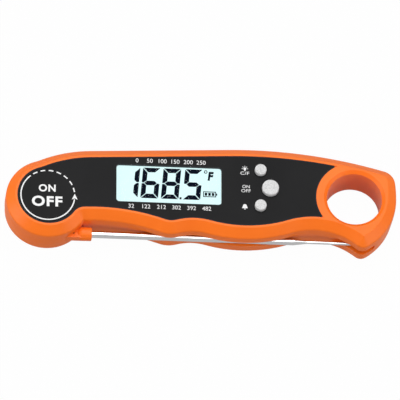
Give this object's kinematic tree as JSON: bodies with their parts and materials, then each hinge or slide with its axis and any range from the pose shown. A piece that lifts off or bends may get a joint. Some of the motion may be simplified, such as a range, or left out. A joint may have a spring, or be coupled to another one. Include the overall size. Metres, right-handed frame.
{
  "type": "meat thermometer",
  "caption": "Folding meat thermometer: flat contoured handle with display, round keys and finger ring, and a steel probe on a turning hub that folds into the handle's edge.",
  "frame": {"origin": "middle of the folded thermometer's outline, in the plane of its flat back", "axes": "+X along the handle towards the finger ring, +Y across the handle away from the folded probe, +Z out of the display face"},
  "size_m": [0.171, 0.0452, 0.0199],
  "materials": {
    "orange_plastic": "satin, fine moulded grain",
    "dark_plastic": "matte",
    "overlay_film": "semi-gloss printed film",
    "clear_lens": "clear, polished",
    "lcd_glass": "lit display layer",
    "light_guide": "frosted",
    "white_plastic": "matte",
    "grey_key_plastic": "fine speckle, matte",
    "soft_rubber": "matte",
    "board_laminate": "varnished laminate",
    "black_moulding": "matte",
    "switch_metal": "stamped",
    "reed_glass": "clear",
    "cell_steel": "drawn",
    "spring_steel": "stamped strip",
    "plated_magnet": "nickel plated",
    "screw_steel": "machined",
    "probe_steel": "polished along the tube",
    "sensor_bead": "glazed",
    "lead_insulation": "smooth insulation"
  },
  "bodies": {
    "housing": {"front_shell": "orange_plastic", "back_shell": "orange_plastic", "face_overlay": "overlay_film", "display_window": "clear_lens", "lcd_glass": "lcd_glass", "lcd_backlight": "light_guide", "lcd_frame": "white_plastic", "contact_strips": "soft_rubber", "circuit_board": "board_laminate", "controller_chip": "black_moulding", "button_switches": "switch_metal", "buzzer": "black_moulding", "reed_switch": "reed_glass", "battery_cell": "cell_steel", "battery_contact_minus": "spring_steel", "battery_contact_plus": "spring_steel", "back_magnets": "plated_magnet", "housing_screws": "screw_steel", "board_screws": "screw_steel", "hub_washer": "spring_steel"},
    "probe_arm": {"probe_hub": "orange_plastic", "probe_tube": "probe_steel", "probe_sensor": "sensor_bead", "sensor_leads": "lead_insulation", "hub_magnet": "plated_magnet"},
    "button_light": {"button_light": "grey_key_plastic"},
    "button_hold": {"button_hold": "grey_key_plastic"},
    "button_alarm": {"button_alarm": "grey_key_plastic"},
    "battery_door": {"battery_door": "dark_plastic", "battery_door_seal": "soft_rubber"}
  },
  "joints": [
    {"name": "probe_fold", "type": "hinge", "parent": "housing", "child": "probe_arm", "pos_m": [-0.06712, -0.00403, 0.0083], "axis": [0, 0, 1], "range_deg": [-180, 0]},
    {"name": "button_light_press", "type": "slide", "parent": "housing", "child": "button_light", "axis": [0, 0, -1], "range_m": [0, 0.0005], "stiffness_N_per_m": 600, "springref_m": -0.0005},
    {"name": "button_hold_press", "type": "slide", "parent": "housing", "child": "button_hold", "axis": [0, 0, -1], "range_m": [0, 0.0005], "stiffness_N_per_m": 600, "springref_m": -0.0005},
    {"name": "button_alarm_press", "type": "slide", "parent": "housing", "child": "button_alarm", "axis": [0, 0, -1], "range_m": [0, 0.0005], "stiffness_N_per_m": 600, "springref_m": -0.0005},
    {"name": "battery_door_turn", "type": "hinge", "parent": "housing", "child": "battery_door", "pos_m": [-0.00912, 0.00297, 0.0018], "axis": [0, 0, 1], "range_deg": [-45, 0]}
  ]
}
